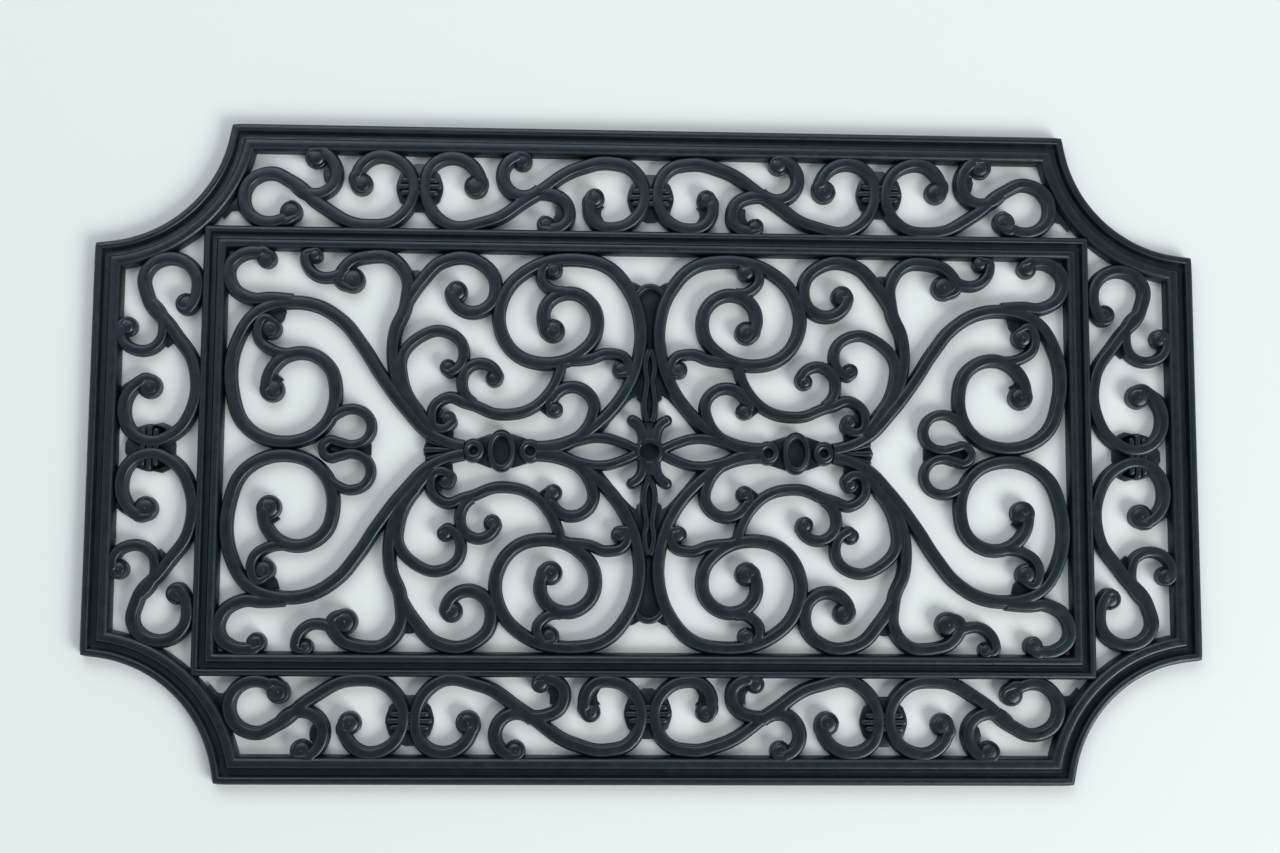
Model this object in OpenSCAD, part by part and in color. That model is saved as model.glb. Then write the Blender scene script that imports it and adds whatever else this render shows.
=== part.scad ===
// Moulded rubber door mat in open scrollwork.
//
// The mat lies on z = 0 with its origin under its middle, X along its length and Y along its depth.
// Its pattern is the same in all four quarters, so every scroll is drawn for the quarter x > 0, y > 0
// and mirrored. A scroll is a bar that follows a smooth chain of arcs through the points of its
// centre line and ends in a round boss. Bars have a broad body and a narrower crown.

/* [Mat] */
// Overall length along X, to which the whole mat is scaled
mat_length = 750; // [600:10:900]
// Overall depth along Y of a mat of the standard length
mat_depth = 444; // [442:1:448]
// Height of the outer frame, the thickest part
frame_height = 9; // [8.6:0.1:12]

/* [Frames] */
// Width of the outer frame moulding
outer_frame_width = 19.8; // [18:0.2:21]
// Radius of the hollow at each outside corner
corner_radius = 89; // [87:1:91]
// Distance of the hollow's centre beyond the back and front edges
corner_rise = 6; // [4:1:8]
// Length of the inner frame over its outside edges
inner_frame_length = 605; // [602:1:608]
// Depth of the inner frame over its outside edges
inner_frame_depth = 303; // [300:1:306]
// Width of the inner frame moulding
inner_frame_width = 16.8; // [14:0.2:17.6]
// Height of the channel floor between the two ribs of a frame
channel_height = 4.5; // [3.5:0.5:6]

/* [Scrolls] */
// Width of the main scroll bars
bar_width = 9.4; // [8.2:0.2:9.8]
// Width of the small side shoots
shoot_width = 8; // [6.8:0.2:8.6]
// Width of the broad shoots in the long border
broad_shoot_width = 9.6; // [8.4:0.2:10]
// Width of the thin bars of the petals and bows
leaf_width = 7.2; // [6:0.2:7.6]
// Height of the crest of the bars
bar_height = 8.5; // [7:0.1:8.5]
// Height at which a bar's body ends and its crown begins
body_height = 6; // [4:0.5:6.5]
// Width of the crown as a share of the bar's width
crown_share = 0.6; // [0.4:0.05:0.8]
// Height of the sunken webs under ties, between rings and inside beads
web_height = 2.5; // [2:0.5:4]
// Height of the ridges on the ties
ridge_height = 7.4; // [6:0.2:8]

/* [Hidden] */
rubber = [0.13, 0.15, 0.16];
// Length at which the pattern below is drawn
standard_length = 750;
half_length = standard_length / 2;
half_depth = mat_depth / 2;
corner_centre = [half_length, half_depth + corner_rise];
// Largest bend between two points of a bar's sides, in degrees
bend_step = 18;
// Depth by which stacked layers and joined bodies run into each other
lap = 1;
$fn = 64;

// The four quarters of the pattern
QUARTERS = [["back_right", 0, 0], ["back_left", 1, 0], ["front_right", 0, 1], ["front_left", 1, 1]];
QUARTER_PARTS = ["outer_corner", "ring_scroll", "link_scroll", "stem_scroll", "heart_scroll",
    "border_scroll", "border_end_scroll", "side_scroll"];
// The two ends and the two sides, which face each other across the middle
ENDS = [["right", 0], ["left", 1]];
END_PARTS = ["outer_end_rail", "inner_end_rail", "end_tie", "bow", "bead_link", "petal"];
SIDES = [["back", 0], ["front", 1]];
SIDE_PARTS = ["outer_long_rail", "inner_long_rail", "middle_tie", "border_ties", "upright_leaf", "gusset"];

// Section of the outer frame: distance in from the outside edge, and height
outer_profile = [
    [0, 0],
    [0.4, frame_height - 2.6],
    [1.6, frame_height - 0.8],
    [3.6, frame_height],
    [5.4, frame_height - 0.4],
    [6.4, channel_height],
    [10.4, channel_height],
    [11, frame_height - 1.2],
    [12.4, frame_height - 0.5],
    [outer_frame_width - 3.4, frame_height - 0.5],
    [outer_frame_width - 1.6, frame_height - 1.6],
    [outer_frame_width - 0.5, frame_height - 3.4],
    [outer_frame_width, 0]
];
// Section of the inner frame
inner_profile = [
    [0, 0],
    [0.4, bar_height - 2.6],
    [1.6, bar_height - 0.6],
    [3.4, bar_height],
    [4.8, bar_height - 0.3],
    [5.6, channel_height],
    [9.2, channel_height],
    [9.8, bar_height - 0.8],
    [11, bar_height - 0.2],
    [inner_frame_width - 3, bar_height - 0.2],
    [inner_frame_width - 1.4, bar_height - 1.2],
    [inner_frame_width - 0.4, bar_height - 3],
    [inner_frame_width, 0]
];

// Centre lines of the scrolls
ring_run = [[76, 2.4], [52, 7.2], [33.6, 20.2], [16.4, 41.2], [8, 63], [6, 84], [13.8, 110],
    [29, 126.6], [52, 131.6], [80, 125.6], [97.6, 109.6], [102, 84], [89.4, 64.8], [70, 59.5],
    [49.4, 65.4], [36.4, 82], [39.6, 100.2], [56, 108.2], [70.6, 99.5], [71, 84]];
ring_shoot_run = [[58, 109.5], [69, 111.4], [74.3, 118.6], [71.5, 127]];
ring_curl_run = [[54, 62], [42, 63], [27, 67], [17, 63.8], [14, 55]];
arm_run = [[76, 2], [52, 6.8], [39.8, 20.6], [37.8, 33], [45, 42], [57, 43.2], [66, 35]];
link_run = [[60, 60], [66.4, 42], [79.2, 29.2], [100, 24.6], [122.4, 31.6], [138, 35.2], [146.5, 26],
    [142, 14.5], [134, 17.5]];
link_shoot_run = [[103.2, 51.8], [112.3, 59.2], [124, 55], [126.8, 43], [119, 32]];
stem_run = [[146, 12], [158, 28], [169, 43], [173.2, 60], [172.8, 78], [165.4, 100], [165.3, 118],
    [175, 130], [191, 131.6], [204.8, 126.4], [210.5, 116.5]];
stem_fork_run = [[165.4, 100], [156.8, 113.4], [141, 129], [120, 130.4], [105.2, 115], [110, 98],
    [124, 94.4], [135, 105.6]];
stem_shoot_run = [[206, 123], [214, 117.6], [227, 118.4], [234, 130]];
stem_curl_run = [[156, 27], [167, 48], [167.3, 64], [157.2, 76], [141, 81.2], [126.4, 70],
    [128.2, 57.5], [134, 53]];
heart_run = [[125, 2.4], [146, 10], [166, 30], [181, 50], [194, 70], [207.4, 86.4], [225.3, 97.2],
    [245, 99.2], [266, 91.6], [279.2, 70], [281.4, 41.6], [268.5, 12.5], [244, 4.2], [220, 14],
    [211.4, 38], [218.7, 58.3], [237, 65], [254, 54.6], [257.6, 42]];
heart_shoot_run = [[238, 65.6], [252.4, 65.6], [263.6, 74.4], [262.3, 87]];
heart_corner_run = [[242, 100.5], [256, 101.4], [270, 101.3], [282.8, 110.2], [284.5, 124],
    [275, 132.5], [264.5, 133.4]];
border_run = [[42, 170], [38, 157], [22, 153.8], [6.8, 165.6], [5, 182], [11.6, 194], [29, 199.4],
    [49.6, 195], [81.6, 174.6], [110.2, 157], [140, 155], [153.8, 175], [145.6, 198.4], [124.4, 197.5],
    [116.8, 186]];
border_up_run = [[76, 179.6], [88, 174.6], [99.6, 182], [99.6, 196], [92, 202]];
border_down_run = [[90, 169.6], [71, 177.2], [57, 168.6], [57.5, 157], [66.5, 152.6]];
border_end_run = [[200.5, 188], [190, 200.2], [172.4, 198.2], [161.7, 179], [172, 158], [196.2, 153.2],
    [225.4, 167.2], [243, 181.8], [260.6, 188.3], [274.8, 179], [272.8, 160], [261, 154], [250, 156.5]];
border_end_shoot_run = [[242, 180.6], [226.4, 174], [215.6, 182], [216.4, 196], [222, 202]];
side_run = [[341, 44.5], [349.5, 36], [352, 23], [348, 12], [334, 4.2], [317, 10.4], [305.6, 30],
    [305.8, 54], [322.4, 80.6], [338.5, 100.8], [340.7, 118], [325, 128.6], [309.2, 121.6], [306, 104],
    [310, 95]];
side_shoot_run = [[336, 98], [327.5, 82], [331, 69.6], [344.4, 65.4], [354, 71.5], [355.5, 80]];
petal_run = [[9, 1.5], [19, 6.2], [28, 9], [37, 9.5], [46, 7.8], [62, 1.5]];
bow_run = [[219, 15], [211, 23.5], [200, 27.4], [190, 23], [187, 14], [191, 6], [200, 2.7], [208, 4.4],
    [215, 5.6], [219.3, 0]];
arch_run = [[-10, 104], [-7.5, 109.5], [0, 113.2], [7.5, 109.5], [10, 104]];

// Angle at which the step from a to b is seen from the eye
function seen_angle(eye, a, b) =
    let (u = a - eye, v = b - eye)
    atan2(u.x * v.y - u.y * v.x, u * v);

// Point at share t of the arc from a to b that leaves its chord at the angle bend
function on_arc(a, b, bend, t) =
    abs(bend) < 0.01 ? a + t * (b - a)
    : let (
        chord = b - a,
        heading = atan2(chord.y, chord.x) - bend * (1 - t),
        reach = norm(chord) * sin(t * bend) / sin(bend)
    )
    a + reach * [cos(heading), sin(heading)];

// Smooth line through the points, whose steps ease from one arc to the next
function smooth(points) = [
    for (i = [0 : len(points) - 2])
        let (
            a = points[i],
            b = points[i + 1],
            before = i > 0 ? seen_angle(points[i - 1], a, b) : seen_angle(points[i + 2], a, b),
            after = i < len(points) - 2 ? seen_angle(points[i + 2], a, b) : before,
            steps = max(2, ceil(2 * max(abs(before), abs(after)) / bend_step))
        )
        for (k = [0 : steps - 1])
            let (t = k / steps)
            on_arc(a, b, before + (after - before) * pow(sin(90 * t), 2), t),
    points[len(points) - 1]
];

// Point beside point i of a line, out to its left
function beside(line, i, out) =
    let (ahead = line[min(i + 1, len(line) - 1)] - line[max(i - 1, 0)])
    line[i] + out * [-ahead.y, ahead.x] / norm(ahead);

function reversed(points) = [for (i = [len(points) - 1 : -1 : 0]) points[i]];

function mirrored_x(points) = [for (p = points) [-p.x, p.y]];

function mirrored_y(points) = [for (p = points) [p.x, -p.y]];

// Whole outline from the part of it in the first quarter, walked from the X axis to the Y axis
function four_ways(points) =
    let (upper = concat(points, reversed(mirrored_x(points))))
    concat(upper, reversed(mirrored_y(upper)));

// Ellipse with half axes rx and ry
function oval(centre, rx, ry) = [for (angle = [0 : 15 : 345]) centre + [rx * cos(angle), ry * sin(angle)]];

// Flat outline of a bar along a run. $share narrows it for the crown.
module bar(run, width) {
    line = smooth(run);
    half = width * $share / 2;
    last = len(line) - 1;
    polygon(concat(
        [for (i = [0 : last]) beside(line, i, half)],
        [for (i = [last : -1 : 0]) beside(line, i, -half)]
    ));
}

// Round boss at the end of a scroll. $share narrows it for the crown.
module boss(x, y, radius) {
    r = radius - (1 - $share) * bar_width / 4;
    polygon(oval([x, y], r, r));
}

// Body and crown made from the same flat shapes
module moulded(crest = bar_height) {
    color(rubber) {
        let ($share = 1)
            linear_extrude(body_height)
                children();
        let ($share = crown_share)
            translate([0, 0, body_height - lap])
                linear_extrude(crest - body_height + lap)
                    children();
    }
}

// Flat plate from z = 0
module plate(height) {
    color(rubber)
        linear_extrude(height)
            children();
}

// Straight frame moulding along X with its outside edge on y = 0
module moulding(profile, length) {
    rotate([90, 0, 90])
        linear_extrude(length, center = true)
            polygon([for (p = profile) [-p.x, p.y]]);
}

// Half length of the outer frame's long side, and half depth of its end, at a distance in from the edge
function long_side_reach(inset) =
    corner_centre.x - sqrt(pow(corner_radius + inset, 2) - pow(corner_rise + inset, 2));

function end_reach(inset) = corner_centre.y - sqrt(pow(corner_radius + inset, 2) - pow(inset, 2));

// Straight rail whose ends are mitred from half length outside to half length inside
module mitred_rail(profile, width, outside, inside) {
    color(rubber)
        intersection() {
            moulding(profile, 2 * max(outside, inside) + 2);
            translate([0, 0, -lap])
                linear_extrude(frame_height + 2 * lap)
                    polygon([[-outside, 0], [outside, 0], [inside, -width], [-inside, -width]]);
        }
}

module outer_long_rail() {
    w = outer_frame_width;
    translate([0, half_depth, 0])
        mitred_rail(outer_profile, w, long_side_reach(0), long_side_reach(w));
}

module outer_end_rail() {
    w = outer_frame_width;
    translate([half_length, 0, 0])
        rotate(-90)
            mitred_rail(outer_profile, w, end_reach(0), end_reach(w));
}

module inner_long_rail() {
    w = inner_frame_width;
    reach = inner_frame_length / 2;
    translate([0, inner_frame_depth / 2, 0])
        mitred_rail(inner_profile, w, reach, reach - w);
}

module inner_end_rail() {
    w = inner_frame_width;
    reach = inner_frame_depth / 2;
    translate([inner_frame_length / 2, 0, 0])
        rotate(-90)
            mitred_rail(inner_profile, w, reach, reach - w);
}

// Hollow corner of the outer frame, the same moulding turned round the hollow's centre
module outer_corner() {
    w = outer_frame_width;
    long_outside = [long_side_reach(0), half_depth];
    long_inside = [long_side_reach(w), half_depth - w];
    end_outside = [half_length, end_reach(0)];
    end_inside = [half_length - w, end_reach(w)];
    color(rubber)
        intersection() {
            translate(corner_centre)
                rotate_extrude()
                    polygon([for (p = outer_profile) [corner_radius + p.x, p.y]]);
            translate([0, 0, -lap])
                linear_extrude(frame_height + 2 * lap)
                    polygon([
                        corner_centre,
                        long_outside,
                        2 * long_inside - long_outside,
                        2 * end_inside - end_outside,
                        end_outside
                    ]);
        }
}

// Ring with a spiral inside it, a shoot on the spiral, and the curl and arm that leave its outside
module ring_scroll() {
    moulded() {
        bar(ring_run, bar_width);
        bar(ring_shoot_run, shoot_width);
        bar(ring_curl_run, shoot_width);
        bar(arm_run, bar_width * 0.9);
        boss(66, 82, 8.3);
        boss(66, 124, 6.6);
        boss(19.5, 56, 6.3);
        boss(64.5, 28.2, 6);
    }
}

// S-shaped bar from the ring to the stem, with its shoot
module link_scroll() {
    moulded() {
        bar(link_run, shoot_width);
        bar(link_shoot_run, shoot_width);
        boss(136, 21, 5.8);
        boss(105.2, 48.8, 6);
    }
}

// Forked stem with two spirals and a curl
module stem_scroll() {
    moulded() {
        bar(stem_run, bar_width);
        bar(stem_fork_run, bar_width);
        bar(stem_shoot_run, shoot_width);
        bar(stem_curl_run, shoot_width);
        boss(202, 115, 8.8);
        boss(131.5, 108, 7.6);
        boss(227.5, 131.8, 5.5);
        boss(136.5, 56, 5.8);
    }
}

// One side of the heart, which turns in on itself, with a shoot inside and a scroll in the frame's corner
module heart_scroll() {
    moulded() {
        bar(heart_run, bar_width);
        bar(heart_shoot_run, shoot_width);
        bar(heart_corner_run, bar_width);
        boss(254, 39.5, 8.4);
        boss(256, 81.2, 7.7);
        boss(259.8, 129, 7);
    }
}

// Scroll in the long border nearest the middle, with a shoot above and one below
module border_scroll() {
    moulded() {
        bar(border_run, bar_width);
        bar(border_up_run, broad_shoot_width);
        bar(border_down_run, bar_width);
        boss(38.5, 174, 7);
        boss(119.5, 181.2, 8.3);
        boss(88, 199.3, 7);
        boss(71.7, 155.4, 6.3);
    }
}

// Scroll in the long border nearest the corner, with one shoot
module border_end_scroll() {
    moulded() {
        bar(border_end_run, bar_width);
        bar(border_end_shoot_run, broad_shoot_width);
        boss(197.3, 181.6, 7.9);
        boss(244.5, 161.5, 7.9);
        boss(228.5, 199.6, 7.6);
    }
}

// Scroll in the end border, with one shoot
module side_scroll() {
    moulded() {
        bar(side_run, bar_width);
        bar(side_shoot_run, shoot_width);
        boss(335.5, 41, 8.4);
        boss(312.6, 97, 7.6);
        boss(351.5, 81.5, 6.8);
    }
}

// Open petal beside the rosette
module petal() {
    moulded() {
        bar(petal_run, leaf_width);
        bar(mirrored_y(petal_run), leaf_width);
    }
}

// Two loops between the lobes of the heart, over a web that fills the notch between them
module bow() {
    moulded() {
        bar(bow_run, leaf_width);
        bar(mirrored_y(bow_run), leaf_width);
    }
    plate(web_height)
        polygon([[187, 4], [196, 0.5], [212, 2], [217, 0], [212, -2], [196, -0.5], [187, -4]]);
}

// Two small beads and a larger oval one on the middle line, and the fluted fan behind them
module bead_link() {
    small_bead = 8.4;
    small_eye = 2.6;
    oval_centre = [99.7, 0];
    web_side = [[72, -4.5], [80, -7.6], [92, -11.5], [107.5, -11.5], [119, -7.4], [130, -4.2]];
    fan_side = [[130, 0], [144, 8], [152, 8.5], [150.8, 5.5], [152.2, 2.5]];
    color(rubber)
        difference() {
            union() {
                linear_extrude(web_height)
                    polygon(concat(web_side, reversed(mirrored_y(web_side))));
                for (x = [80.5, 118.5])
                    translate([x, 0, 0])
                        cylinder(h = ridge_height, r = small_bead);
                linear_extrude(bar_height)
                    polygon(oval(oval_centre, 10.5, 14.6));
            }
            for (x = [80.5, 118.5])
                translate([x, 0, web_height])
                    cylinder(h = bar_height, r = small_eye);
            translate([0, 0, web_height])
                linear_extrude(bar_height)
                    polygon(oval(oval_centre, 5.3, 9.2));
        }
    plate(ridge_height - 2)
        polygon(concat(fan_side, reversed(mirrored_y([for (i = [1 : len(fan_side) - 1]) fan_side[i]]))));
}

// Middle of the pattern: a blind eye between two pairs of horns
module rosette() {
    flank = smooth([[10.8, 1.5], [9.8, 6], [8.2, 12], [10.6, 17.4], [14.8, 20.4]]);
    horn = smooth([[15, 23.6], [8.8, 24.4], [2.6, 20.6]]);
    color(rubber)
        difference() {
            linear_extrude(bar_height)
                polygon(four_ways(concat(flank, horn, [[0.6, 17]])));
            translate([0, 0, web_height])
                cylinder(h = bar_height, r = 6);
        }
}

// Pointed leaf that stands on the rosette's horns, with a sunken heart line
module upright_leaf() {
    edge = smooth([[1.6, 19.5], [5.8, 25], [6.6, 32], [5.4, 41], [3.6, 49], [5.6, 56], [4.8, 63], [1, 69]]);
    heart_line = smooth([[0.6, 24], [2, 28], [1.8, 34], [0.6, 38]]);
    color(rubber)
        difference() {
            linear_extrude(ridge_height)
                polygon(concat(edge, reversed(mirrored_x(edge))));
            translate([0, 0, web_height])
                linear_extrude(bar_height)
                    polygon(concat(heart_line, reversed(mirrored_x(heart_line))));
        }
}

// Sunken web between the two rings, closed at the far end by an arch
module gusset() {
    edge = [[1.5, 66], [2.4, 84], [4.6, 98], [8.5, 106], [8.5, 114]];
    plate(web_height)
        polygon(concat(edge, reversed(mirrored_x(edge))));
    moulded(ridge_height)
        bar(arch_run, 5);
}

// Ridged collar that ties two scrolls together, drawn about its middle with its ridges along X
module tie() {
    ridge_spacing = 4.3;
    plate(web_height)
        polygon(four_ways([[16, 1.5], [13.5, 9.6], [9.5, 13.2], [3, 16.8]]));
    for (i = [-1 : 1])
        translate([0, i * ridge_spacing, 0])
            color(rubber)
                linear_extrude(ridge_height)
                    polygon(four_ways([[15.4 - 2.4 * abs(i), 0.6], [14.2 - 2.4 * abs(i), 2.1]]));
}

module middle_tie() {
    translate([0, 175, 0])
        tie();
}

module border_ties() {
    for (side = [-1, 1])
        translate([side * 158, 180, 0])
            tie();
}

module end_tie() {
    translate([334, 0, 0])
        rotate(90)
            tie();
}

// Places a part in a quarter, mirrored left to right, front to back, or both
module placed(to_left, to_front) {
    scale(mat_length / standard_length)
        mirror([to_left, 0, 0])
            mirror([0, to_front, 0])
                children();
}

for (quarter = QUARTERS) {
    placed(quarter[1], quarter[2]) outer_corner();
    placed(quarter[1], quarter[2]) ring_scroll();
    placed(quarter[1], quarter[2]) link_scroll();
    placed(quarter[1], quarter[2]) stem_scroll();
    placed(quarter[1], quarter[2]) heart_scroll();
    placed(quarter[1], quarter[2]) border_scroll();
    placed(quarter[1], quarter[2]) border_end_scroll();
    placed(quarter[1], quarter[2]) side_scroll();
}
for (end = ENDS) {
    placed(end[1], 0) outer_end_rail();
    placed(end[1], 0) inner_end_rail();
    placed(end[1], 0) end_tie();
    placed(end[1], 0) bow();
    placed(end[1], 0) bead_link();
    placed(end[1], 0) petal();
}
for (side = SIDES) {
    placed(0, side[1]) outer_long_rail();
    placed(0, side[1]) inner_long_rail();
    placed(0, side[1]) middle_tie();
    placed(0, side[1]) border_ties();
    placed(0, side[1]) upright_leaf();
    placed(0, side[1]) gusset();
}
placed(0, 0) rosette();
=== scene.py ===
import math

import bmesh
import bpy
import numpy as np
from mathutils import Matrix, Vector


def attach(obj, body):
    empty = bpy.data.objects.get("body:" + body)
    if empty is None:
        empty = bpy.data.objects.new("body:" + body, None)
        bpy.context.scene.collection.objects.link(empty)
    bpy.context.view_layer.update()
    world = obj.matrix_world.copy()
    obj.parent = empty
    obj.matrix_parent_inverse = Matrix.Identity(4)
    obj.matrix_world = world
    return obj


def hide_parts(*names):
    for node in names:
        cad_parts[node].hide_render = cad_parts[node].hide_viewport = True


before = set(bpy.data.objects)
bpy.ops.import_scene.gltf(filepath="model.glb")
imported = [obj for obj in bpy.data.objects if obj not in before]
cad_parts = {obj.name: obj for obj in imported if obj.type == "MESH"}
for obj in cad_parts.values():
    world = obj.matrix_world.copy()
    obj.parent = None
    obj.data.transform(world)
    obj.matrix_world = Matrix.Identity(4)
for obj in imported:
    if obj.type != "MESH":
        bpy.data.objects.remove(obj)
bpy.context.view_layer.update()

# Everything below is laid out in millimetres, and a mesh is scaled to metres when it is made
MM = 0.001

# Mat
HALF_LENGTH = 375.0
HALF_DEPTH = 222.0
CORNER_CENTRE = (375.0, 228.0)
CORNER_RADIUS = 89.0
TIP_ROUNDING = 1.6
TIP_REACH = 14
INNER_HALF_LENGTH = 302.5
INNER_HALF_DEPTH = 151.5
BAR_HEIGHT = 8.5
WEB_HEIGHT = 2.5
EYE_FLOOR = WEB_HEIGHT - 0.4
EYE_RADIUS = 5.9
RIDGE_HEIGHT = 7.4

# Bars
BAR_WIDTH = 9.4
SHOOT_WIDTH = 8.0
LEAF_WIDTH = 7.2
ARM_WIDTH = 8.5
BROAD_SHOOT_WIDTH = 9.6
STEP = 1.0
BUTTON_SIDES = 48
# The end of a bar runs on round its round end: turn, steps, and how soon it settles onto the end's edge
CURL_TURN = math.radians(235)
CURL_STEPS = 34
CURL_SETTLING = 3.2
RIM_HALF = 1.2
RIM_DROP = 0.9
SHARP_ANGLE = math.radians(38)

# Section of a bar from its side to its crest, as shares of its half width and of its height. The mould
# leaves a narrow ledge low on the flank.
BAR_SECTION = [
    (1.0, 0.0),
    (1.0, 0.42),
    (0.965, 0.465),
    (0.91, 0.485),
    (0.875, 0.52),
    (0.855, 0.62),
    (0.825, 0.745),
    (0.775, 0.845),
    (0.70, 0.915),
    (0.59, 0.96),
    (0.42, 0.985),
    (0.21, 0.996),
    (0.0, 1.0),
]

# Sections of the frames: distance in from the outside edge, and height
OUTER_PROFILE = [
    (0, 0), (0.25, 5.4), (0.55, 7.2), (1.1, 8.3), (1.9, 8.85), (3.0, 9.0), (4.3, 9.0), (5.0, 8.8),
    (5.5, 8.2), (5.85, 6.9), (6.2, 5.3), (6.8, 4.5), (8.6, 4.3), (10.0, 4.5), (10.5, 5.3), (10.8, 6.9),
    (11.1, 7.9), (11.6, 8.4), (12.4, 8.6), (14.2, 8.65), (15.8, 8.55), (17.0, 8.15), (17.8, 7.3),
    (18.5, 6.0), (19.1, 4.4), (19.6, 2.2), (19.8, 0),
]
INNER_PROFILE = [
    (0, 0), (0.2, 4.8), (0.5, 6.6), (1.0, 7.7), (1.8, 8.3), (2.8, 8.5), (3.8, 8.5), (4.4, 8.3),
    (4.85, 7.7), (5.15, 6.5), (5.5, 5.1), (6.0, 4.5), (7.4, 4.3), (8.8, 4.5), (9.3, 5.1), (9.6, 6.7),
    (9.9, 7.7), (10.4, 8.15), (11.4, 8.35), (12.8, 8.35), (14.0, 8.05), (14.9, 7.2), (15.6, 5.9),
    (16.2, 4.1), (16.65, 2.0), (16.8, 0),
]

# Round base under the end of a scroll, and the dome with a pip that fills its spiral: share of the
# radius, and height
BASE_PROFILE = [(0.0, 5.6), (0.84, 5.5), (0.9, 4.3), (0.96, 4.05), (0.99, 3.7), (1.0, 3.3), (1.0, 0.0)]
DOME_PROFILE = [
    (0.0, 8.3), (0.05, 8.27), (0.09, 8.0), (0.13, 7.9), (0.25, 7.95), (0.45, 7.8), (0.65, 7.45),
    (0.82, 6.9), (0.94, 6.1), (1.0, 5.0), (1.0, 0.0),
]

# Rounded end of a horn or a lobe: share of the radius, and height
ROUND_END = [
    (0.0, 8.5), (0.2, 8.45), (0.42, 8.2), (0.62, 7.7), (0.78, 7.0), (0.9, 6.0), (0.97, 4.6), (1.0, 3.0),
    (1.0, 0.0),
]

# Centre lines of the scrolls in the quarter x > 0, y > 0
RING_RUN = [(76, 2.4), (52, 7.2), (33.6, 20.2), (16.4, 41.2), (8, 63), (6, 84), (13.8, 110), (29, 126.6),
            (52, 131.6), (80, 125.6), (97.6, 109.6), (102, 84), (89.4, 64.8), (70, 59.5), (49.4, 65.4),
            (36.4, 82), (39.6, 100.2), (56, 108.2), (70.6, 99.5), (71, 84)]
RING_SHOOT_RUN = [(58, 109.5), (69, 111.4), (74.3, 118.6), (71.5, 127)]
RING_CURL_RUN = [(54, 62), (42, 63), (27, 67), (17, 63.8), (14, 55)]
ARM_RUN = [(76, 2), (52, 6.8), (39.8, 20.6), (37.8, 33), (45, 42), (57, 43.2), (66, 35)]
LINK_RUN = [(60, 60), (66.4, 42), (79.2, 29.2), (100, 24.6), (122.4, 31.6), (138, 35.2), (146.5, 26),
            (142, 14.5), (134, 17.5)]
LINK_SHOOT_RUN = [(103.2, 51.8), (112.3, 59.2), (124, 55), (126.8, 43), (119, 32)]
STEM_RUN = [(146, 12), (158, 28), (169, 43), (173.2, 60), (172.8, 78), (165.4, 100), (165.3, 118),
            (175, 130), (191, 131.6), (204.8, 126.4), (210.5, 116.5)]
STEM_FORK_RUN = [(165.4, 100), (156.8, 113.4), (141, 129), (120, 130.4), (105.2, 115), (110, 98),
                 (124, 94.4), (135, 105.6)]
STEM_SHOOT_RUN = [(206, 123), (214, 117.6), (227, 118.4), (234, 130)]
STEM_CURL_RUN = [(156, 27), (167, 48), (167.3, 64), (157.2, 76), (141, 81.2), (126.4, 70), (128.2, 57.5),
                 (134, 53)]
HEART_RUN = [(125, 2.4), (146, 10), (166, 30), (181, 50), (194, 70), (207.4, 86.4), (225.3, 97.2),
             (245, 99.2), (266, 91.6), (279.2, 70), (281.4, 41.6), (268.5, 12.5), (244, 4.2), (220, 14),
             (211.4, 38), (218.7, 58.3), (237, 65), (254, 54.6), (257.6, 42)]
HEART_SHOOT_RUN = [(238, 65.6), (252.4, 65.6), (263.6, 74.4), (262.3, 87)]
HEART_CORNER_RUN = [(242, 100.8), (256, 101.9), (270, 101.6), (282.8, 110.2), (284.5, 124), (275, 132.5),
                    (264.5, 133.2)]
BORDER_RUN = [(42, 170), (38, 157), (22, 153.8), (6.8, 165.6), (5, 182), (11.6, 194), (29, 199.4),
              (49.6, 195), (81.6, 174.6), (110.2, 157), (140, 155), (153.8, 175), (145.6, 198.4),
              (124.4, 197.5), (116.8, 186)]
BORDER_UP_RUN = [(76, 179.6), (88, 174.6), (99.6, 182), (99.6, 196), (92, 202)]
BORDER_DOWN_RUN = [(90, 169.6), (71, 177.2), (57, 168.6), (57.5, 157), (66.5, 152.6)]
BORDER_END_RUN = [(200.5, 188), (190, 200.2), (172.4, 198.2), (161.7, 179), (172, 158), (196.2, 153.2),
                  (225.4, 167.2), (243, 181.8), (260.6, 188.3), (274.8, 179), (272.8, 160), (261, 154),
                  (250, 156.5)]
BORDER_END_SHOOT_RUN = [(242, 180.6), (226.4, 174), (215.6, 182), (216.4, 196), (222, 202)]
SIDE_RUN = [(341, 44.5), (349.5, 36), (352, 23), (348, 12), (334, 4.2), (317, 10.4), (305.6, 30),
            (305.8, 54), (322.4, 80.6), (338.5, 100.8), (340.7, 118), (325, 128.6), (309.2, 121.6),
            (306, 104), (310, 95)]
SIDE_SHOOT_RUN = [(336, 98), (327.5, 82), (331, 69.6), (344.4, 65.4), (354, 71.5), (355.5, 80)]
PETAL_RUN = [(9, 1.5), (19, 6.2), (28, 9), (37, 9.5), (46, 7.8), (62, 1.5)]
BOW_RUN = [(219, 15), (211, 23.5), (200, 27.4), (190, 23), (187, 14), (191, 6), (200, 2.7), (208, 4.4),
           (215, 5.6), (219.3, 0)]
ARCH_RUN = [(-10, 104), (-7.5, 109.5), (0, 113.2), (7.5, 109.5), (10, 104)]
LEAF_RUN = [(1.4, 20.5), (3.3, 27), (3.6, 33), (2.8, 41), (1.9, 48), (3.1, 56), (2.6, 63), (0.6, 69.5)]
HORN_RUN = [(4.4, 4), (4.4, 12), (7, 18), (11.6, 21.4)]

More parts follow.
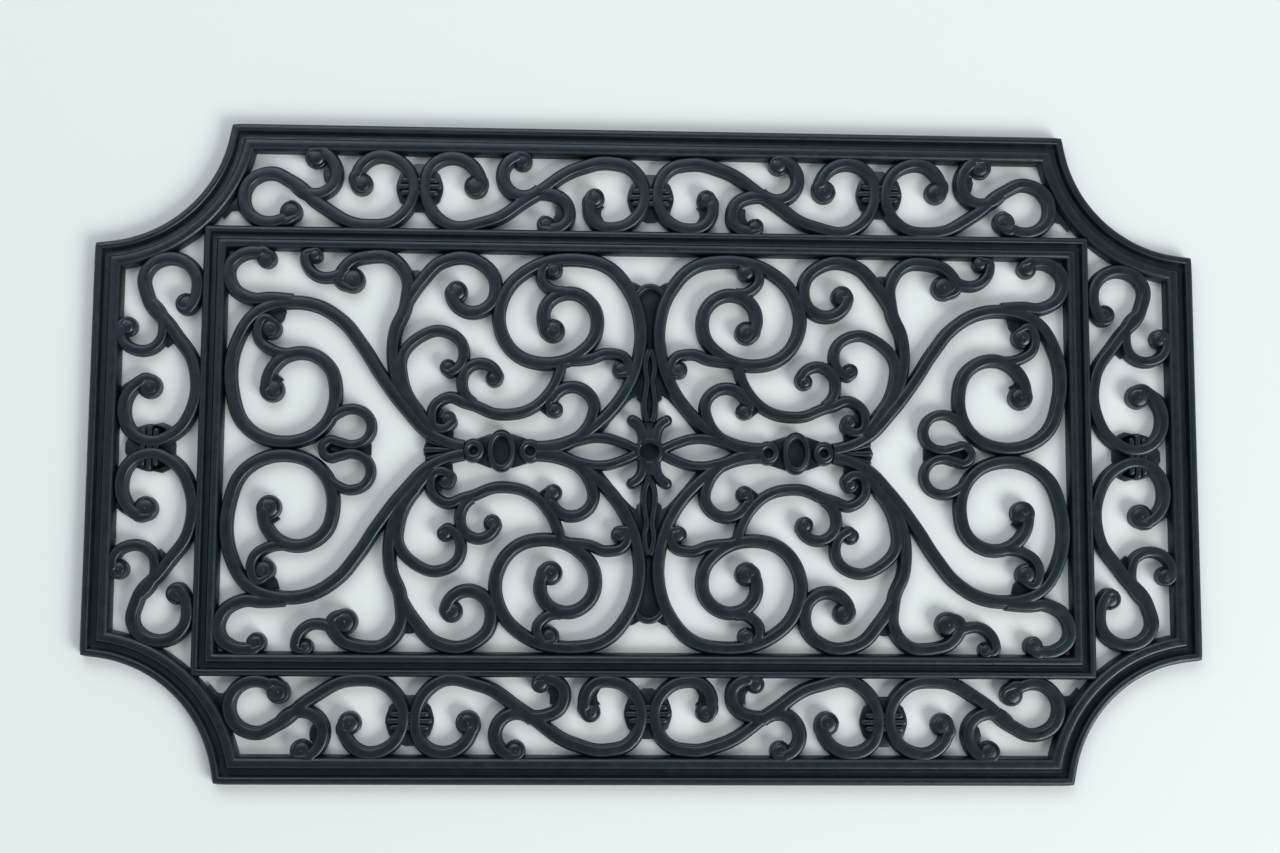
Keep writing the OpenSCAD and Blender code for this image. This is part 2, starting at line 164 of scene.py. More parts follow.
# Each scroll of a quarter: its bars as (run, width, round end at the start, round end at the end). A round
# end is (x, y, radius).
SCROLLS = {
    "ring_scroll": [
        (RING_RUN, BAR_WIDTH, None, (66, 82, 8.3)),
        (RING_SHOOT_RUN, SHOOT_WIDTH, None, (66, 124, 6.6)),
        (RING_CURL_RUN, SHOOT_WIDTH, None, (19.5, 56, 6.3)),
        (ARM_RUN, ARM_WIDTH, None, (64.5, 28.2, 6)),
    ],
    "link_scroll": [
        (LINK_RUN, SHOOT_WIDTH, None, (136, 21, 5.8)),
        (LINK_SHOOT_RUN, SHOOT_WIDTH, (105.2, 48.8, 6), None),
    ],
    "stem_scroll": [
        (STEM_RUN, BAR_WIDTH, None, (202, 115, 8.8)),
        (STEM_FORK_RUN, BAR_WIDTH, None, (131.5, 108, 7.6)),
        (STEM_SHOOT_RUN, SHOOT_WIDTH, None, (227.5, 131.8, 5.5)),
        (STEM_CURL_RUN, SHOOT_WIDTH, None, (136.5, 56, 5.8)),
    ],
    "heart_scroll": [
        (HEART_RUN, BAR_WIDTH, None, (254, 39.5, 8.4)),
        (HEART_SHOOT_RUN, SHOOT_WIDTH, None, (256, 81.2, 7.7)),
        (HEART_CORNER_RUN, BAR_WIDTH, None, (259.8, 129.1, 6.8)),
    ],
    "border_scroll": [
        (BORDER_RUN, BAR_WIDTH, (38.5, 174, 7), (119.5, 181.2, 8.3)),
        (BORDER_UP_RUN, BROAD_SHOOT_WIDTH, None, (88, 199.3, 7)),
        (BORDER_DOWN_RUN, BAR_WIDTH, None, (71.7, 155.4, 6.3)),
    ],
    "border_end_scroll": [
        (BORDER_END_RUN, BAR_WIDTH, (197.3, 181.6, 7.9), (244.5, 161.5, 7.9)),
        (BORDER_END_SHOOT_RUN, BROAD_SHOOT_WIDTH, None, (228.5, 199.6, 7.6)),
    ],
    "side_scroll": [
        (SIDE_RUN, BAR_WIDTH, (335.5, 41, 8.4), (312.6, 97, 7.6)),
        (SIDE_SHOOT_RUN, SHOOT_WIDTH, None, (351.5, 81.5, 6.8)),
    ],
}

# Low webs that fill the narrow gaps of a scroll
WEBS = {
    "ring_scroll": [
        [(12, 36.5), (20, 28), (27, 19.2), (32, 13), (37, 17), (34, 22), (17, 43), (10, 60), (5, 60),
         (6, 48), (8, 39)],
        [(63, 22.5), (68, 23), (72, 26), (77, 30), (70, 34), (64, 29)],
    ],
    "link_scroll": [
        [(133, 5), (146, 8), (148, 14), (147.5, 27), (140, 28), (135, 20), (132, 14)],
    ],
    "stem_scroll": [
        [(160, 108), (167, 108), (170, 121), (164, 123), (158, 123), (152.5, 121)],
        [(203, 131.5), (204, 122), (210, 117), (215.5, 120.5), (212, 126), (208.5, 130)],
    ],
    "heart_scroll": [
        [(246, 93.5), (247.5, 88), (251, 83), (258, 87), (257, 95)],
        [(246.5, 47), (250.5, 50), (254, 48), (250, 44)],
    ],
    "border_scroll": [
        [(31.5, 169), (33.5, 166.5), (34, 163), (32.5, 160), (30, 157), (37, 156), (42, 161), (42, 171),
         (36, 171)],
        [(59, 170), (57, 160), (62, 156), (68, 158.5), (65.5, 162.5), (65.5, 168.5)],
    ],
    "border_end_scroll": [
        [(218, 195), (215, 186), (220, 180), (223, 184.5), (224, 189), (223, 193.5)],
        [(274, 159.5), (277.5, 158.5), (281, 162.5), (285, 162), (290, 156.5), (293, 161), (284, 172),
         (276, 172)],
    ],
    "side_scroll": [
        [(339, 50), (343, 40), (352, 34), (357, 39), (352.5, 43), (346, 47)],
        [(316, 70), (321, 71), (325, 67.5), (331, 71), (325, 81)],
        [(317, 10), (330, 6), (334, 13), (331, 16), (326, 17), (321.5, 15)],
    ],
}

QUARTERS = {"back_right": (1, 1), "back_left": (-1, 1), "front_right": (1, -1), "front_left": (-1, -1)}
ENDS = {"right": (1, 1), "left": (-1, 1)}
SIDES = {"back": (1, 1), "front": (1, -1)}


# ---------------------------------------------------------------- lines

def seen_angle(eye, a, b):
    """Angle in radians at which the step from a to b is seen from the eye."""
    u, v = a - eye, b - eye
    return math.atan2(u[0] * v[1] - u[1] * v[0], u @ v)


def on_arc(a, b, bend, t):
    if abs(bend) < 1e-4:
        return a + t * (b - a)
    chord = b - a
    heading = math.atan2(chord[1], chord[0]) - bend * (1 - t)
    reach = np.linalg.norm(chord) * math.sin(t * bend) / math.sin(bend)
    return a + reach * np.array([math.cos(heading), math.sin(heading)])


def smooth(points, step=STEP):
    """Smooth line through the points, in steps of about the given length."""
    points = [np.array(p, float) for p in points]
    last = len(points) - 2
    line = []
    for i in range(last + 1):
        a, b = points[i], points[i + 1]
        before = seen_angle(points[i - 1], a, b) if i > 0 else seen_angle(points[i + 2], a, b)
        after = seen_angle(points[i + 2], a, b) if i < last else before
        count = max(2, math.ceil(np.linalg.norm(b - a) / step))
        for k in range(count):
            t = k / count
            bend = before + (after - before) * math.sin(math.pi / 2 * t) ** 2
            line.append(on_arc(a, b, bend, t))
    line.append(points[-1])
    return np.array(line)


def normals(line):
    ahead = np.vstack([line[1:2] - line[0:1], line[2:] - line[:-2], line[-1:] - line[-2:-1]])
    ahead /= np.linalg.norm(ahead, axis=1)[:, None]
    return np.column_stack([-ahead[:, 1], ahead[:, 0]])


def mirrored(points, sx, sy):
    return [(sx * x, sy * y) for x, y in points]


def oval(x, y, rx, ry, sides=BUTTON_SIDES):
    angles = np.arange(sides) * 2 * math.pi / sides
    return np.column_stack([x + rx * np.cos(angles), y + ry * np.sin(angles)])


# ---------------------------------------------------------------- solids: (vertices, faces) in millimetres

def loft(rings):
    """Solid through rings of points, capped at both ends."""
    rings = [np.asarray(r, float) for r in rings]
    n = len(rings[0])
    faces = []
    for i in range(len(rings) - 1):
        for k in range(n):
            m = (k + 1) % n
            faces.append((i * n + k, i * n + m, (i + 1) * n + m, (i + 1) * n + k))
    faces.append(tuple(range(n - 1, -1, -1)))
    faces.append(tuple((len(rings) - 1) * n + k for k in range(n)))
    return np.vstack(rings), faces


def swept(line, halves, heights):
    """Bar along a line, with its half width and its height given at each point."""
    section = [(-u, v) for u, v in BAR_SECTION] + [(u, v) for u, v in reversed(BAR_SECTION[:-1])]
    rings = []
    for p, n, half, height in zip(line, normals(line), halves, heights):
        ring = [(p[0] + n[0] * u * half, p[1] + n[1] * u * half, v * height) for u, v in section]
        rings.append(ring)
    return loft(rings)


def bar(run, width, height=BAR_HEIGHT, taper=None, lift=None):
    """Bar swept along a run. taper(t) scales its width and lift(t) its height at share t of its length."""
    line = smooth(run)
    shares = np.linspace(0, 1, len(line))
    halves = [width / 2 * (taper(t) if taper else 1) for t in shares]
    heights = [height * (lift(t) if lift else 1) for t in shares]
    return swept(line, halves, heights)


def curl(line, half, end):
    """Points, half widths and heights that carry a bar on round its round end, narrowing to a thin rim."""
    x, y, radius = end
    centre = np.array([x, y])
    arm = line[-1] - centre
    ahead = line[-1] - line[-3]
    sense = 1 if arm[0] * ahead[1] - arm[1] * ahead[0] > 0 else -1
    start = math.atan2(arm[1], arm[0])
    reach = np.linalg.norm(arm)
    points, halves, heights = [], [], []
    for i in range(1, CURL_STEPS + 1):
        t = i / CURL_STEPS
        angle = start + sense * t * CURL_TURN
        settle = min(1.0, t * CURL_SETTLING)
        settle = settle * settle * (3 - 2 * settle)
        edge = (reach + half) * (1 - settle) + radius * settle
        now = half + (RIM_HALF - half) * math.sin(math.pi / 2 * t) ** 0.8
        now = min(now, edge - 0.6)
        points.append(centre + (edge - now) * np.array([math.cos(angle), math.sin(angle)]))
        halves.append(now)
        heights.append(BAR_HEIGHT - RIM_DROP * t)
    return points, halves, heights


def scroll_bar(run, width, start_end, end_end):
    """Solids of one bar of a scroll with its round ends."""
    line = smooth(run)
    halves = [width / 2] * len(line)
    heights = [BAR_HEIGHT] * len(line)
    solids = []
    for end, at_start in ((end_end, False), (start_end, True)):
        if end is None:
            continue
        way = line[::-1] if at_start else line
        points, more_halves, more_heights = curl(way, width / 2, end)
        if at_start:
            line = np.vstack([np.array(points)[::-1], line])
            halves = more_halves[::-1] + halves
            heights = more_heights[::-1] + heights
        else:
            line = np.vstack([line, np.array(points)])
            halves = halves + more_halves
            heights = heights + more_heights
        x, y, radius = end
        solids.append(turned(x, y, radius, BASE_PROFILE))
        solids.append(turned(x, y, radius - RIM_HALF, DOME_PROFILE))
    return [swept(line, halves, heights)] + solids


def turned(x, y, radius, profile):
    """Solid of revolution. The profile runs from the middle of its top out and down to z = 0."""
    rings = []
    for share, z in profile[1:]:
        ring = oval(x, y, radius * share, radius * share)
        rings.append(np.column_stack([ring, np.full(len(ring), z)]))
    rings = rings[::-1]
    vertices = np.vstack(rings + [np.array([[x, y, profile[0][1]]])])
    n = len(rings[0])
    faces = [tuple(range(n - 1, -1, -1))]
    for i in range(len(rings) - 1):
        for k in range(n):
            m = (k + 1) % n
            faces.append((i * n + k, i * n + m, (i + 1) * n + m, (i + 1) * n + k))
    top = len(rings) * n
    for k in range(n):
        faces.append((top - n + k, top - n + (k + 1) % n, top))
    return vertices, faces


def collar(inner, outer, profile, floor):
    """Ring between two loops of points on a floor plate, with its height at shares from inner to outer."""
    rings = []
    for share, z in profile:
        points = inner + share * (outer - inner)
        rings.append(np.column_stack([points, np.full(len(points), z)]))
    base = np.column_stack([outer, np.zeros(len(outer))])
    inside = np.column_stack([inner, np.full(len(inner), floor)])
    rings = [base] + rings[::-1] + [inside]
    return loft(rings)


def slab(outline, height, rounding=0.5):
    """Flat web with a slightly rounded upper edge, from its outline."""
    outline = np.array(outline, float)
    x, y = outline.T
    if (x * np.roll(y, -1) - y * np.roll(x, -1)).sum() < 0:
        outline = outline[::-1]
    ahead = np.roll(outline, -1, axis=0) - outline
    ahead /= np.linalg.norm(ahead, axis=1)[:, None]
    inward = np.column_stack([-ahead[:, 1], ahead[:, 0]])
    corner = inward + np.roll(inward, 1, axis=0)
    corner /= np.maximum((corner * corner).sum(axis=1) / 2, 0.4)[:, None]
    rings = []
    bevel = 0.3 * rounding
    for inset, z in ((0, 0), (0, height - rounding), (bevel, height - bevel), (rounding, height)):
        points = outline + corner * inset
        rings.append(np.column_stack([points, np.full(len(points), z)]))
    return loft(rings)


# ---------------------------------------------------------------- meshes

def mesh_from(solid, name):
    vertices, faces = solid
    mesh = bpy.data.meshes.new(name)
    mesh.from_pydata([tuple(v) for v in np.asarray(vertices) * MM], [], faces)
    work = bmesh.new()
    work.from_mesh(mesh)
    bmesh.ops.remove_doubles(work, verts=work.verts, dist=1e-7)
    bmesh.ops.recalc_face_normals(work, faces=work.faces)
    work.to_mesh(mesh)
    work.free()
    return mesh


def joined(solids, name, cuts=()):
    """One mesh from overlapping solids, less the cuts."""
    base = bpy.data.objects.new(name, mesh_from(solids[0], name))
    bpy.context.scene.collection.objects.link(base)
    helpers = []
    for operation, group in (("UNION", solids[1:]), ("DIFFERENCE", cuts)):
        for solid in group:
            helper = bpy.data.objects.new("helper", mesh_from(solid, "helper"))
            bpy.context.scene.collection.objects.link(helper)
            helper.hide_render = True
            helpers.append(helper)
            modifier = base.modifiers.new("join", "BOOLEAN")
            modifier.operation = operation
            modifier.solver = "MANIFOLD"
            modifier.object = helper
    bpy.context.view_layer.update()
    evaluated = base.evaluated_get(bpy.context.evaluated_depsgraph_get())
    result = bpy.data.meshes.new_from_object(evaluated)
    for helper in helpers + [base]:
        mesh = helper.data
        bpy.data.objects.remove(helper)
        bpy.data.meshes.remove(mesh)
    result.name = name
    return result


def finish_mesh(mesh):
    mesh.shade_smooth()
    mesh.set_sharp_from_angle(angle=SHARP_ANGLE)


def place(mesh, node, sx=1, sy=1):
    """A piece that stands for the CAD node, from a mesh drawn for x > 0, y > 0."""
    copy = mesh.copy()
    copy.name = "look_" + node
    copy.transform(Matrix.Diagonal((sx, sy, 1, 1)))
    if sx * sy < 0:
        copy.flip_normals()
    finish_mesh(copy)
    piece = bpy.data.objects.new("look_" + node, copy)
    bpy.context.scene.collection.objects.link(piece)
    copy.materials.clear()
    copy.materials.append(rubber)
    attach(piece, "root")
    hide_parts(node)
    return piece


def place_all(mesh, part, copies):
    for suffix, (sx, sy) in copies.items():
        place(mesh, part + "_" + suffix, sx, sy)
    bpy.data.meshes.remove(mesh)


# ---------------------------------------------------------------- rubber

def make_rubber():
    material = bpy.data.materials.new("rubber")
    material.use_nodes = True
    nodes, links = material.node_tree.nodes, material.node_tree.links
    shader = nodes["Principled BSDF"]
    where = nodes.new("ShaderNodeTexCoord")

    def noise(scale, detail, roughness=0.55):
        node = nodes.new("ShaderNodeTexNoise")
        node.inputs["Scale"].default_value = scale
        node.inputs["Detail"].default_value = detail
        node.inputs["Roughness"].default_value = roughness
        links.new(where.outputs["Object"], node.inputs["Vector"])
        return node

    def ramp(source, stops):
        node = nodes.new("ShaderNodeValToRGB")
        elements = node.color_ramp.elements
        while len(elements) < len(stops):
            elements.new(0.5)
        for element, (position, colour) in zip(elements, stops):
            element.position = position
            element.color = (*colour, 1)
        links.new(source, node.inputs["Fac"])
        return node

    def mixed(factor, one, other):
        node = nodes.new("ShaderNodeMix")
        node.data_type = "RGBA"
        links.new(factor, node.inputs["Factor"])
        links.new(one, node.inputs[6])
        if hasattr(other, "type"):
            links.new(other, node.inputs[7])
        else:
            node.inputs[7].default_value = (*other, 1)
        return node.outputs[2]

    mottle = ramp(noise(55, 4).outputs["Fac"],
                  [(0.3, (0.0022, 0.0042, 0.0056)), (0.7, (0.0042, 0.0078, 0.0100))])
    film = ramp(noise(9, 5, 0.7).outputs["Fac"], [(0.42, (0, 0, 0)), (0.8, (0.35, 0.35, 0.35))])
    dusty = mixed(film.outputs["Color"], mottle.outputs["Color"], (0.008, 0.0125, 0.0150))
    specks = nodes.new("ShaderNodeTexVoronoi")
    specks.inputs["Scale"].default_value = 420
    links.new(where.outputs["Object"], specks.inputs["Vector"])
    dot = ramp(specks.outputs["Distance"], [(0.05, (1, 1, 1)), (0.11, (0, 0, 0))])
    rare = ramp(noise(160, 1).outputs["Fac"], [(0.63, (0, 0, 0)), (0.68, (1, 1, 1))])
    spot = nodes.new("ShaderNodeMath")
    spot.operation = "MULTIPLY"
    links.new(dot.outputs["Color"], spot.inputs[0])
    links.new(rare.outputs["Color"], spot.inputs[1])
    faint = nodes.new("ShaderNodeMath")
    faint.operation = "MULTIPLY"
    links.new(spot.outputs[0], faint.inputs[0])
    faint.inputs[1].default_value = 0.5
    links.new(mixed(faint.outputs[0], dusty, (0.16, 0.17, 0.17)), shader.inputs["Base Color"])

    gloss = nodes.new("ShaderNodeMapRange")
    gloss.inputs["From Min"].default_value = 0.3
    gloss.inputs["From Max"].default_value = 0.7
    gloss.inputs["To Min"].default_value = 0.3
    gloss.inputs["To Max"].default_value = 0.44
    links.new(noise(120, 3).outputs["Fac"], gloss.inputs["Value"])
    links.new(gloss.outputs["Result"], shader.inputs["Roughness"])

    grain = nodes.new("ShaderNodeBump")
    grain.inputs["Strength"].default_value = 0.22
    grain.inputs["Distance"].default_value = 0.0001
    links.new(noise(1900, 3).outputs["Fac"], grain.inputs["Height"])
    waves = nodes.new("ShaderNodeBump")
    waves.inputs["Strength"].default_value = 0.25
    waves.inputs["Distance"].default_value = 0.0006
    links.new(noise(210, 2).outputs["Fac"], waves.inputs["Height"])
    links.new(grain.outputs["Normal"], waves.inputs["Normal"])
    links.new(waves.outputs["Normal"], shader.inputs["Normal"])
    shader.inputs["IOR"].default_value = 1.5
    shader.inputs["Specular Tint"].default_value = (0.72, 0.92, 1.0, 1)
    return material


rubber = make_rubber()


# ---------------------------------------------------------------- frames

def long_side_reach(inset):
    beyond = CORNER_CENTRE[1] - HALF_DEPTH + inset
    return CORNER_CENTRE[0] - math.sqrt((CORNER_RADIUS + inset) ** 2 - beyond ** 2)


def end_reach(inset):
    return CORNER_CENTRE[1] - math.sqrt((CORNER_RADIUS + inset) ** 2 - inset ** 2)


LONG_TIP = np.array([long_side_reach(0), HALF_DEPTH])
END_TIP = np.array([HALF_LENGTH, end_reach(0)])


def eased(points):
    """Rounds the sharp tips where hollow corners meet straight sides, for points with x and y above 0."""
    points = np.array(points, float)
    for tip, inward in ((LONG_TIP, (-0.78, -0.62)), (END_TIP, (-0.62, -0.78))):
        inward = np.array(inward) / np.linalg.norm(inward)
        depth = (points[:, :2] - tip) @ inward
        away = np.linalg.norm(points[:, :2] - tip, axis=1)
        shift = np.sqrt(depth ** 2 + TIP_ROUNDING ** 2) - depth
        fade = np.clip(1 - away / TIP_REACH, 0, 1)
        points[:, :2] += np.where(away < TIP_REACH, shift * fade, 0)[:, None] * inward
    return points


def rail(profile, reach, shares):
    """Rail along X with its outside edge on y = 0. reach(inset) is its half length there."""
    rings = []
    for s in shares:
        rings.append([(s * reach(inset), -inset, z) for inset, z in profile])
    return loft(rings)


def stations(reach, step=4.0):
    """Shares of the half length at which a rail gets a section, from one end to the other."""
    count = 2 * math.ceil(reach / step)
    return np.linspace(-1, 1, count + 1)


def turned_quarter(solid):
    """The same solid, turned from along X to along Y."""
    vertices, faces = solid
    return np.column_stack([vertices[:, 1], -vertices[:, 0], vertices[:, 2]]), faces


def moved(solid, x, y):
    vertices, faces = solid
    return np.asarray(vertices) + np.array([x, y, 0.0]), faces


def corner_arc():
    rings = []
    for t in np.linspace(0, 1, 73):
        ring = []
        for inset, z in OUTER_PROFILE:
            start = (long_side_reach(inset) - CORNER_CENTRE[0], HALF_DEPTH - inset - CORNER_CENTRE[1])
            end = (HALF_LENGTH - inset - CORNER_CENTRE[0], end_reach(inset) - CORNER_CENTRE[1])
            from_angle = math.atan2(start[1], start[0]) % (2 * math.pi)
            to_angle = math.atan2(end[1], end[0]) % (2 * math.pi)
            angle = from_angle + t * (to_angle - from_angle)
            radius = CORNER_RADIUS + inset
            x = CORNER_CENTRE[0] + radius * math.cos(angle)
            y = CORNER_CENTRE[1] + radius * math.sin(angle)
            ring.append((x, y, z))
        rings.append(ring)
    vertices, faces = loft(rings)
    return eased(vertices), faces


def both_ends_eased(solid):
    vertices, faces = solid
    signs = np.sign(vertices[:, :2])
    signs[signs == 0] = 1
    folded = np.column_stack([np.abs(vertices[:, :2]), vertices[:, 2]])
    folded = eased(folded)
    return np.column_stack([folded[:, :2] * signs, folded[:, 2]]), faces


def build_frames():
    long_rail = rail(OUTER_PROFILE, long_side_reach, stations(LONG_TIP[0]))
    long_rail = both_ends_eased(moved(long_rail, 0, HALF_DEPTH))
    place_all(mesh_from(long_rail, "outer_long"), "outer_long_rail", SIDES)
    end_rail = turned_quarter(rail(OUTER_PROFILE, end_reach, stations(END_TIP[1])))
    end_rail = both_ends_eased(moved(end_rail, HALF_LENGTH, 0))
    place_all(mesh_from(end_rail, "outer_end"), "outer_end_rail", ENDS)
    place_all(mesh_from(corner_arc(), "corner"), "outer_corner", QUARTERS)
    long_rail = rail(INNER_PROFILE, lambda inset: INNER_HALF_LENGTH - inset,
                     stations(INNER_HALF_LENGTH))
    place_all(mesh_from(moved(long_rail, 0, INNER_HALF_DEPTH), "inner_long"), "inner_long_rail", SIDES)
    end_rail = rail(INNER_PROFILE, lambda inset: INNER_HALF_DEPTH - inset, stations(INNER_HALF_DEPTH))
    end_rail = turned_quarter(end_rail)
    place_all(mesh_from(moved(end_rail, INNER_HALF_LENGTH, 0), "inner_end"), "inner_end_rail", ENDS)


# ---------------------------------------------------------------- scrolls

def build_scrolls():
    for part, bars in SCROLLS.items():
        solids = [solid for each in bars for solid in scroll_bar(*each)]
        solids += [slab(outline, WEB_HEIGHT) for outline in WEBS[part]]
        place_all(joined(solids, part), part, QUARTERS)


# ---------------------------------------------------------------- middle of the pattern

BEAD_PROFILE = [(0.0, 5.4), (0.06, 6.3), (0.16, 7.1), (0.32, 7.7), (0.5, 7.85), (0.66, 7.6), (0.8, 6.9),
                (0.9, 5.8), (0.96, 4.2)]
OVAL_PROFILE = [(0.0, 5.6), (0.05, 6.8), (0.14, 7.8), (0.28, 8.4), (0.42, 8.5), (0.58, 8.3), (0.74, 7.6),
                (0.87, 6.4), (0.95, 4.6)]
EYE_PROFILE = [(0.0, 5.6), (0.06, 6.9), (0.16, 7.9), (0.32, 8.4), (0.5, 8.5), (0.7, 8.1), (0.86, 7.0),
               (0.95, 5.2)]


def build_middle():
    petal = [bar(PETAL_RUN, LEAF_WIDTH), bar(mirrored(PETAL_RUN, 1, -1), LEAF_WIDTH)]
    place_all(joined(petal, "petal"), "petal", ENDS)

    bow = [bar(BOW_RUN, LEAF_WIDTH), bar(mirrored(BOW_RUN, 1, -1), LEAF_WIDTH)]
    bow.append(slab([(187, -4), (196, -0.6), (212, -2), (217, 0), (212, 2), (196, 0.6), (187, 4)],
                    WEB_HEIGHT))
    place_all(joined(bow, "bow"), "bow", ENDS)

    web = slab([(72, -4.5), (80, -7.6), (92, -11.5), (107.5, -11.5), (119, -7.4), (130, -4.2),
                (130, 4.2), (119, 7.4), (107.5, 11.5), (92, 11.5), (80, 7.6), (72, 4.5)], WEB_HEIGHT)
    beads = [web]
    beads.append(collar(oval(80.5, 0, 2.6, 2.6), oval(80.5, 0, 8.4, 8.4), BEAD_PROFILE, EYE_FLOOR))
    beads.append(collar(oval(118.5, 0, 2.3, 2.3), oval(118.5, 0, 8.4, 8.4), BEAD_PROFILE, EYE_FLOOR))
    beads.append(collar(oval(99.7, 0, 5.2, 9.0), oval(99.7, 0, 10.5, 14.6), OVAL_PROFILE, EYE_FLOOR))
    fan = slab([(130, 0), (144, -8), (151.5, -8.5), (150.5, -5.5), (152, -2.5), (152, 2.5), (150.5, 5.5),
                (151.5, 8.5), (144, 8)], WEB_HEIGHT)
    tongue = bar([(128, 0), (134, 0.01), (141, 0.01), (150, 0)], 5.6, 6.8, taper=lambda t: 0.5 + 0.5 * t)
    beads += [fan, tongue, turned(149.6, 0, 2.8, [(s, z * 0.8) for s, z in ROUND_END])]
    for sign in (-1, 1):
        lobe_run = mirrored([(136, 2.5), (140, 3.6), (145, 5), (149, 6.2)], 1, sign)
        beads.append(bar(lobe_run, 4.2, 6.2))
        beads.append(turned(149, 6.2 * sign, 2.1, [(s, z * 0.73) for s, z in ROUND_END]))
    place_all(joined(beads, "bead_link"), "bead_link", ENDS)

    eye = collar(oval(0, 0, EYE_RADIUS, EYE_RADIUS), oval(0, 0, 10.6, 10.6), EYE_PROFILE, EYE_FLOOR)
    rosette = [eye]
    for sx in (-1, 1):
        for sy in (-1, 1):
            rosette.append(bar(mirrored(HORN_RUN, sx, sy), 7.8))
            rosette.append(turned(11.6 * sx, 21.4 * sy, 3.9, ROUND_END))
    for sy in (-1, 1):
        rosette.append(bar([(0, 5 * sy), (0.01, 9 * sy), (0.01, 12 * sy), (0, 16 * sy)], 8.5, 8.4))
    hole = turned(0, 0, EYE_RADIUS, [(0.0, 20), (1.0, 20), (1.0, 0)])
    hole = (hole[0] + np.array([0, 0, EYE_FLOOR]), hole[1])
    place(joined(rosette, "rosette", cuts=[hole]), "rosette")

    leaf = [bar(LEAF_RUN, 4.9, RIDGE_HEIGHT), bar(mirrored(LEAF_RUN, -1, 1), 4.9, RIDGE_HEIGHT)]
    edge = [(2, 30), (8.5, 36), (8.5, 44), (6.5, 56), (3, 60)]
    leaf.append(slab(edge + [(-x, y) for x, y in reversed(edge)], WEB_HEIGHT - 0.3))
    leaf.append(slab([(-1.5, 20), (1.5, 20), (4.5, 28), (4.5, 34), (1.5, 42), (1.5, 50), (3.4, 56), (1, 66),
                      (-1, 66), (-3.4, 56), (-1.5, 50), (-1.5, 42), (-4.5, 34), (-4.5, 28)], WEB_HEIGHT))
    place_all(joined(leaf, "upright_leaf"), "upright_leaf", SIDES)

    gusset = [bar(ARCH_RUN, 5.0, RIDGE_HEIGHT)]
    edge = [(1.5, 66), (2.4, 84), (4.6, 98), (10, 106), (13, 117), (9.5, 116), (6, 114), (3, 112)]
    gusset.append(slab(edge + [(-x, y) for x, y in reversed(edge)], WEB_HEIGHT))
    place_all(joined(gusset, "gusset"), "gusset", SIDES)


# Tie: its ridges as (distance off its middle, half length), and its web's outline in one quarter
TIE_RIDGES = [(-4.3, 12.6), (0.0, 15.0), (4.3, 12.6)]
TIE_WEB = [(16.0, 1.5), (15.2, 5.0), (13.5, 9.6), (9.5, 13.2), (3.0, 16.8)]


def tie(x, y, upright):
    upper = TIE_WEB + [(-a, b) for a, b in reversed(TIE_WEB)]
    loop = upper + [(a, -b) for a, b in reversed(upper)]
    solids = [slab(loop, WEB_HEIGHT)]
    for off, half in TIE_RIDGES:
        run = [(-half, off), (-half / 3, off + 0.01), (half / 3, off + 0.01), (half, off)]
        solids.append(bar(run, 4.7, RIDGE_HEIGHT, taper=round_ends,
                          lift=lambda t: 0.86 + 0.14 * round_ends(t)))
    if upright:
        solids = [turned_quarter(solid) for solid in solids]
    return [moved(solid, x, y) for solid in solids]


def round_ends(t):
    """Share of full width at share t along a ridge with rounded tips."""
    edge = min(t, 1 - t) * 12
    return 0.3 + 0.7 * math.sqrt(max(0.0, 1 - (1 - min(edge, 1.0)) ** 2))


def build_ties():
    place_all(joined(tie(0, 175, False), "middle_tie"), "middle_tie", SIDES)
    pair = joined(tie(158, 180, False), "tie_one"), joined(tie(-158, 180, False), "tie_two")
    work = bmesh.new()
    for mesh in pair:
        work.from_mesh(mesh)
        bpy.data.meshes.remove(mesh)
    both = bpy.data.meshes.new("border_ties")
    work.to_mesh(both)
    work.free()
    place_all(both, "border_ties", SIDES)
    place_all(joined(tie(334, 0, True), "end_tie"), "end_tie", ENDS)


build_frames()
build_scrolls()
build_middle()
build_ties()


# ---------------------------------------------------------------- floor, camera and light

FLOOR_DROP = 0.0004
floor_mesh = bpy.data.meshes.new("floor")
FLOOR_HALF = 4
floor_corners = [(-FLOOR_HALF, -FLOOR_HALF), (FLOOR_HALF, -FLOOR_HALF), (FLOOR_HALF, FLOOR_HALF),
                 (-FLOOR_HALF, FLOOR_HALF)]
floor_mesh.from_pydata([(x, y, -FLOOR_DROP) for x, y in floor_corners], [], [(0, 1, 2, 3)])
floor = bpy.data.objects.new("floor", floor_mesh)
bpy.context.scene.collection.objects.link(floor)
pale = bpy.data.materials.new("pale_floor")
pale.use_nodes = True
pale.node_tree.nodes["Principled BSDF"].inputs["Base Color"].default_value = (0.61, 0.66, 0.665, 1)
pale.node_tree.nodes["Principled BSDF"].inputs["Roughness"].default_value = 0.9
floor_mesh.materials.append(pale)

# The camera looks almost straight down. Its turn is a rotation vector and its place is in millimetres,
# both from the floor to the lens with y down and z away from the lens.
LENS = 50.0
SENSOR = 36.0
VIEW_TURN = (3.0345, 0.0120, 0.0661)
VIEW_SHIFT = (6.1514, 17.663, 1205.698)


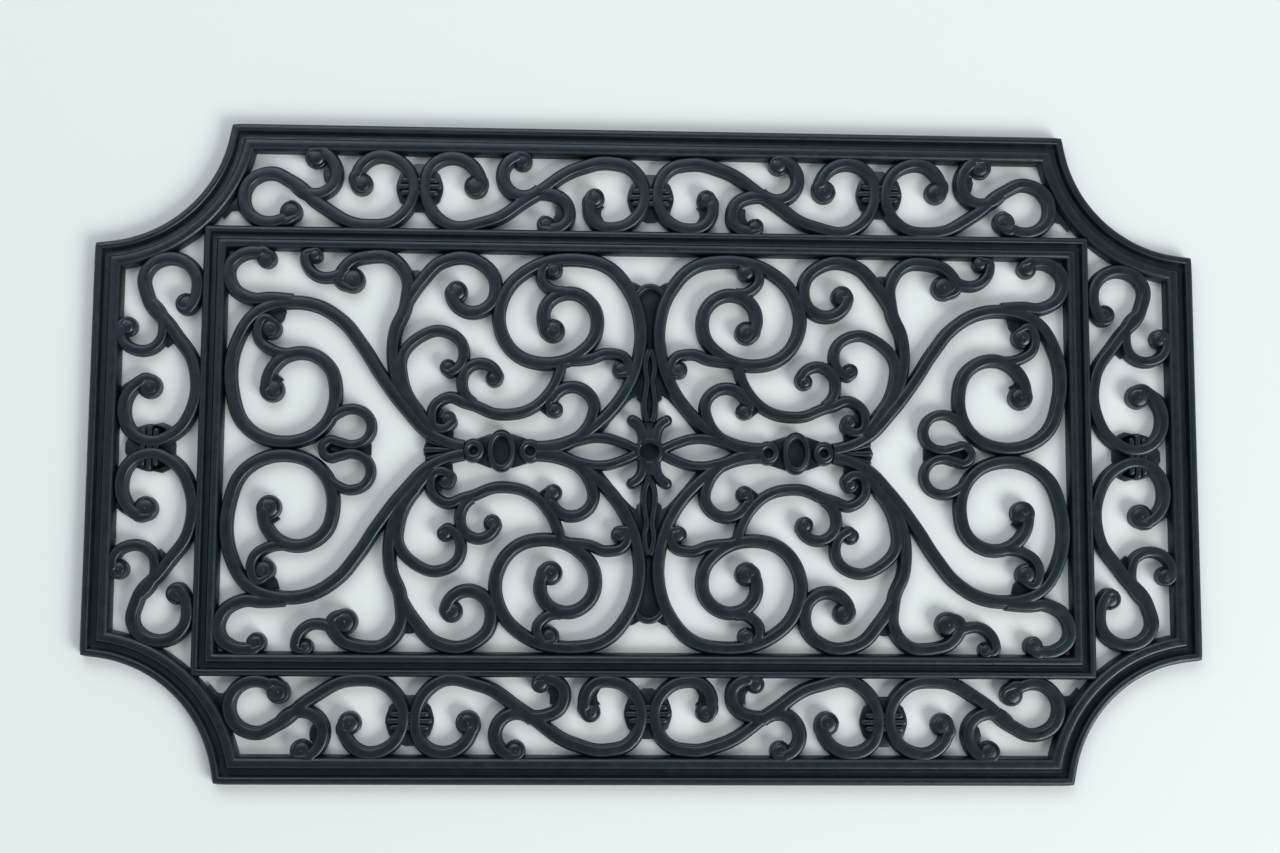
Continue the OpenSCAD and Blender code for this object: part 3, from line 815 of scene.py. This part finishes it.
def aim_camera():
    turn = Matrix.Rotation(Vector(VIEW_TURN).length, 3, Vector(VIEW_TURN).normalized())
    place_at = -(turn.transposed() @ Vector(VIEW_SHIFT)) * MM
    flip = Matrix.Diagonal((1, -1, -1))
    camera = bpy.data.objects.new("camera", bpy.data.cameras.new("camera"))
    bpy.context.scene.collection.objects.link(camera)
    camera.data.lens = LENS
    camera.data.sensor_width = SENSOR
    camera.data.sensor_fit = "HORIZONTAL"
    camera.data.clip_start = 0.01
    camera.matrix_world = Matrix.Translation(place_at) @ (flip @ turn).transposed().to_4x4()
    bpy.context.scene.camera = camera


def area_light(name, place_at, size, energy, colour):
    light = bpy.data.lights.new(name, "AREA")
    light.shape = "RECTANGLE"
    light.size, light.size_y = size
    light.energy = energy
    light.color = colour
    lamp = bpy.data.objects.new(name, light)
    lamp.location = place_at
    lamp.rotation_euler = (-Vector(place_at)).to_track_quat("-Z", "Y").to_euler()
    bpy.context.scene.collection.objects.link(lamp)


aim_camera()
area_light("key", (2.9, -2.6, 2.5), (2.8, 2.0), 225, (1.0, 1.0, 0.98))
area_light("fill", (-0.5, 1.7, 2.0), (2.4, 1.6), 32, (0.96, 0.98, 1.0))


def make_sky():
    """Soft surround, dim overhead and bright low down, so that rounded edges show as light lines."""
    world = bpy.data.worlds.new("world")
    bpy.context.scene.world = world
    world.use_nodes = True
    nodes, links = world.node_tree.nodes, world.node_tree.links
    where = nodes.new("ShaderNodeTexCoord")
    split = nodes.new("ShaderNodeSeparateXYZ")
    links.new(where.outputs["Generated"], split.inputs[0])
    ramp = nodes.new("ShaderNodeValToRGB")
    elements = ramp.color_ramp.elements
    while len(elements) < len(SKY):
        elements.new(0.5)
    for element, (position, level) in zip(elements, SKY):
        element.position = position
        element.color = (level * 0.93, level * 0.99, level, 1)
    links.new(split.outputs["Z"], ramp.inputs["Fac"])
    links.new(ramp.outputs["Color"], nodes["Background"].inputs["Color"])
    nodes["Background"].inputs["Strength"].default_value = 1.0


SKY = [(0.0, 0.75), (0.45, 0.85), (0.75, 0.5), (0.93, 0.2), (1.0, 0.14)]
make_sky()
bpy.context.scene.view_settings.view_transform = "Standard"
